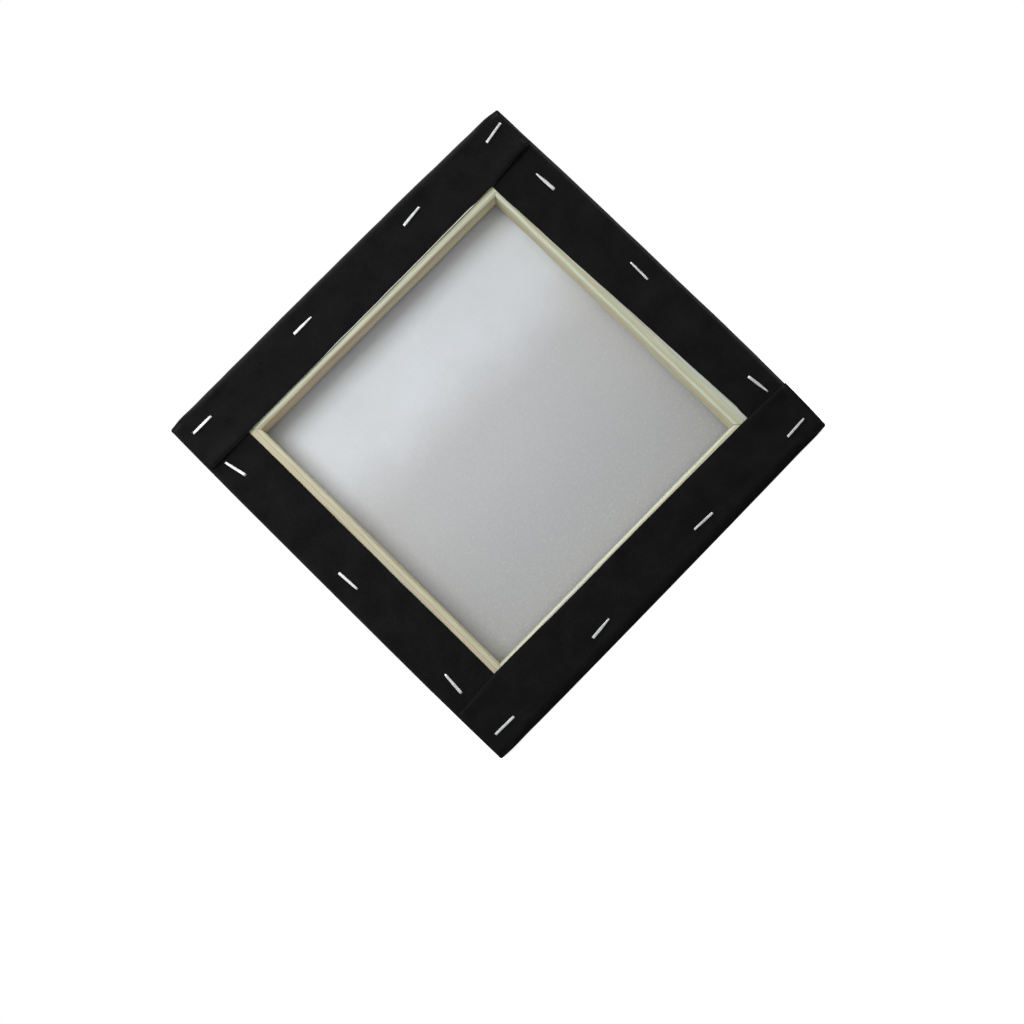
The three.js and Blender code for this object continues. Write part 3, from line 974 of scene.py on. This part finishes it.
def staple(side, number, place, edge, turn, ends, material):
    """One staple, driven through the flap into the bar until its crown lies on the cloth."""
    sunk, point = 0.02, 0.25
    level = seat_level(side, place) + CLOTH / 2 + WIRE_THICKNESS / 2 - sunk
    (x, z), (run, fall) = crown_place(side, place, edge, turn)
    crown = np.array([run, 0.0, fall])
    across = np.array([-fall, 0.0, run])
    centre = np.array([x, level, z])
    section = wire_section()
    path = staple_path()
    points = []
    for index, (along, height, direction) in enumerate(path):
        tip = point if index in (0, len(path) - 1) else 1.0
        narrow = float(np.interp(along, (-CROWN / 2, 0, CROWN / 2), (ends[0], max(ends), ends[1])))
        for side_step, out_step in section:
            forward = along - out_step * tip * math.sin(direction)
            rise = np.array([0.0, height + out_step * tip * math.cos(direction), 0.0])
            points.append(centre + crown * forward + across * side_step * narrow + rise)
    mesh = closed_skin("staple", points, len(path), len(section))
    mesh.materials.append(material)
    return finish_mesh(f"wire_staple_{side}_{number}", mesh, sharp_above=50)


def make_canvas():
    """The cloth as one sheet, over the bars and back under the staples."""
    raw = raw_cloth()
    stations = side_stations()
    sheet = Sheet()
    border = front_face(sheet, stations)
    last = walls(sheet, stations, border)
    for side, (first, run) in last.items():
        flap(sheet, side, stations, first, run)
    primed = primed_cloth("black_primed_cotton", 0.0080, 0.0037)
    # The cut edges' coat is a lighter grey: partly the bared fibres of the cut, partly a painted
    # highlight where the raised edges catch the light.
    edge = primed_cloth("primed_cut_edge_with_painted_highlight", 0.040, 0.020)
    return sheet.build("canvas_cloth", [primed, raw, raw, primed, edge])


def make_camera():
    """The photographer's view: close behind the canvas, turned so that a corner points up."""
    back = SIDE_LEVEL * MM + 0.0011
    location = Vector((0.0496, back + 0.5106, 0.0426))
    target = Vector((0.0224, back, 0.0709))
    roll = math.radians(-45.65)
    data = bpy.data.cameras.new("camera")
    data.lens = 41.5
    data.sensor_width = 36.0
    data.clip_start = 0.01
    data.clip_end = 50.0
    camera = bpy.data.objects.new("camera", data)
    camera.location = location
    camera.rotation_mode = "QUATERNION"
    level_view = (target - location).to_track_quat("-Z", "Y")
    camera.rotation_quaternion = level_view @ Quaternion((0, 0, 1), roll)
    bpy.context.collection.objects.link(camera)
    bpy.context.scene.camera = camera


def make_light(name, location, size, power):
    """A square soft white light that points at the middle of the canvas."""
    data = bpy.data.lights.new(name, "AREA")
    data.shape = "SQUARE"
    data.size = size
    data.energy = power
    light = bpy.data.objects.new(name, data)
    light.location = location
    aim = Vector((0.0, 0.0, MIDDLE)) - Vector(location)
    light.rotation_mode = "QUATERNION"
    light.rotation_quaternion = aim.to_track_quat("-Z", "Y")
    bpy.context.collection.objects.link(light)


def make_world():
    """A white backdrop for the camera. Surfaces see a dimmer one, with a bright band at the sides."""
    world = bpy.data.worlds.new("studio")
    world.use_nodes = True
    tree = world.node_tree
    tree.nodes.clear()
    seen = make_node(tree, "ShaderNodeLightPath").outputs["Is Camera Ray"]
    glossy = make_node(tree, "ShaderNodeLightPath").outputs["Is Glossy Ray"]
    direction = make_node(tree, "ShaderNodeTexCoord").outputs["Generated"]
    parts = make_node(tree, "ShaderNodeSeparateXYZ", {}, {0: direction})
    room = make_node(tree, "ShaderNodeMapRange", {}, {0: glossy, 3: 0.52, 4: 0.66}).outputs[0]
    wall = make_node(tree, "ShaderNodeMapRange", {}, {0: glossy, 3: 2.6, 4: 4.6}).outputs[0]
    smooth = {"interpolation_type": "SMOOTHSTEP"}
    towards_light = {0: direction, 1: (-0.35, 0.0, 0.94)}
    upper = make_node(tree, "ShaderNodeVectorMath", {"operation": "DOT_PRODUCT"}, towards_light)
    inputs = {0: upper.outputs["Value"], 1: -0.5, 2: 0.35, 3: 0.4, 4: wall}
    band = make_node(tree, "ShaderNodeMapRange", smooth, inputs).outputs[0]
    facing = make_node(tree, "ShaderNodeMath", {"operation": "ABSOLUTE"}, {0: parts.outputs[1]})
    inputs = {0: facing.outputs[0], 1: 0.05, 2: 0.5, 3: band, 4: room}
    lighting = make_node(tree, "ShaderNodeMapRange", smooth, inputs).outputs[0]
    strength = make_node(tree, "ShaderNodeMapRange", {}, {0: seen, 3: lighting, 4: 1.0}).outputs[0]
    background = make_node(tree, "ShaderNodeBackground", {}, {0: (1.0, 1.0, 1.0, 1.0), 1: strength})
    output = make_node(tree, "ShaderNodeOutputWorld")
    tree.links.new(background.outputs[0], output.inputs[0])
    bpy.context.scene.world = world


def make_floor(height):
    """A plain, almost white floor that keeps a faint shadow."""
    material = bpy.data.materials.new("pale_floor")
    material.use_nodes = True
    tree = material.node_tree
    tree.nodes.clear()
    seen = make_node(tree, "ShaderNodeLightPath").outputs["Is Camera Ray"]
    matt = make_node(tree, "ShaderNodeBsdfDiffuse", {}, {0: (0.4, 0.4, 0.4, 1.0)})
    dull = make_node(tree, "ShaderNodeBsdfDiffuse", {}, {0: (0.28, 0.28, 0.28, 1.0)})
    glow = make_node(tree, "ShaderNodeEmission", {}, {0: (1.0, 1.0, 1.0, 1.0), 1: 0.90})
    both = make_node(tree, "ShaderNodeAddShader", {}, {0: matt.outputs[0], 1: glow.outputs[0]})
    mixed = make_node(tree, "ShaderNodeMixShader", {}, {0: seen, 1: dull.outputs[0], 2: both.outputs[0]})
    output = make_node(tree, "ShaderNodeOutputMaterial")
    tree.links.new(mixed.outputs[0], output.inputs[0])
    reach = 12.0
    corners = [(-reach, -reach), (reach, -reach), (reach, reach), (-reach, reach)]
    mesh = bpy.data.meshes.new("floor")
    mesh.from_pydata([(x, y, height) for x, y in corners], [], [(0, 1, 2, 3)])
    mesh.materials.append(material)
    floor = bpy.data.objects.new("floor", mesh)
    bpy.context.collection.objects.link(floor)
    floor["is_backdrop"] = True


make_camera()
canvas = make_canvas()
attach(canvas, "root")
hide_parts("canvas")

BARS = {
    "top": pine("top", (0.0, 31.0, -150.0), 0.65, 0.55),
    "bottom": pine("bottom", (0.0, 45.0, 12.0), 0.35, 0.15),
    "left": pine("left", (120.0, 38.0, 0.0), 0.5, 0.2),
    "right": pine("right", (-52.0, 26.0, 0.0), 0.5, 0.35),
}
for side, wood in BARS.items():
    bar = stretcher_bar(side, wood)
    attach(bar, "root")
    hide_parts(f"stretcher_bar_{side}")

wire = steel("galvanised_wire", (0.76, 0.77, 0.78), 0.52, 0.68)
for side, places in STAPLES.items():
    for number, (place, edge, turn) in enumerate(places, 1):
        piece = staple(side, number, place, edge, turn, CROWN_ENDS[side][number - 1], wire)
        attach(piece, "root")
        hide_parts(f"staple_{side}_{number}")

strip = steel("nail_strip", (0.55, 0.56, 0.58), 0.35, 0.55)
for name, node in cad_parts.items():
    if name.startswith("v_nail"):
        node.data.materials.clear()
        node.data.materials.append(strip)

make_world()
make_light("key", (0.165, 0.42, 0.395), 0.27, 1.39)
make_floor(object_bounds()[0].z - FLOOR_GAP)

scene = bpy.context.scene
scene.view_settings.view_transform = "Standard"
scene.view_settings.look = "None"
